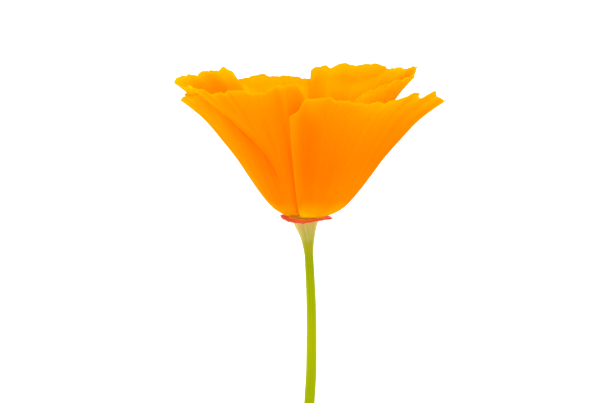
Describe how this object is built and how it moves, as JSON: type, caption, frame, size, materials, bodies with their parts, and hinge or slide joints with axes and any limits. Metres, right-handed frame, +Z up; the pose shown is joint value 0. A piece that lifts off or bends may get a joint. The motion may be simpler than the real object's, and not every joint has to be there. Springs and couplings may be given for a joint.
{
  "type": "poppy flower",
  "caption": "Cut California poppy lying on its petals: wide orange cup of overlapping petals, red torus rim, stamens, pistil and a bare stem.",
  "frame": {"origin": "centre of the bounding box in plan, at the surface that the flower lies on", "axes": "+Y along the flower, from the cut end of the stem to the mouth of the cup; +Z up; +X to the right"},
  "size_m": [0.0622, 0.1272, 0.0524],
  "materials": {
    "petal": "soft satin, thin enough for light to shine through",
    "torus": "satin",
    "stem": "smooth, slightly waxy, with fine ridges",
    "stamen": "powdery",
    "pistil": "satin"
  },
  "bodies": {
    "root": {"petal_inner_left": "petal", "petal_inner_right": "petal", "petal_outer_left": "petal", "petal_outer_right": "petal", "torus": "torus", "stem": "stem", "stamens": "stamen", "pistil": "pistil"}
  },
  "joints": []
}
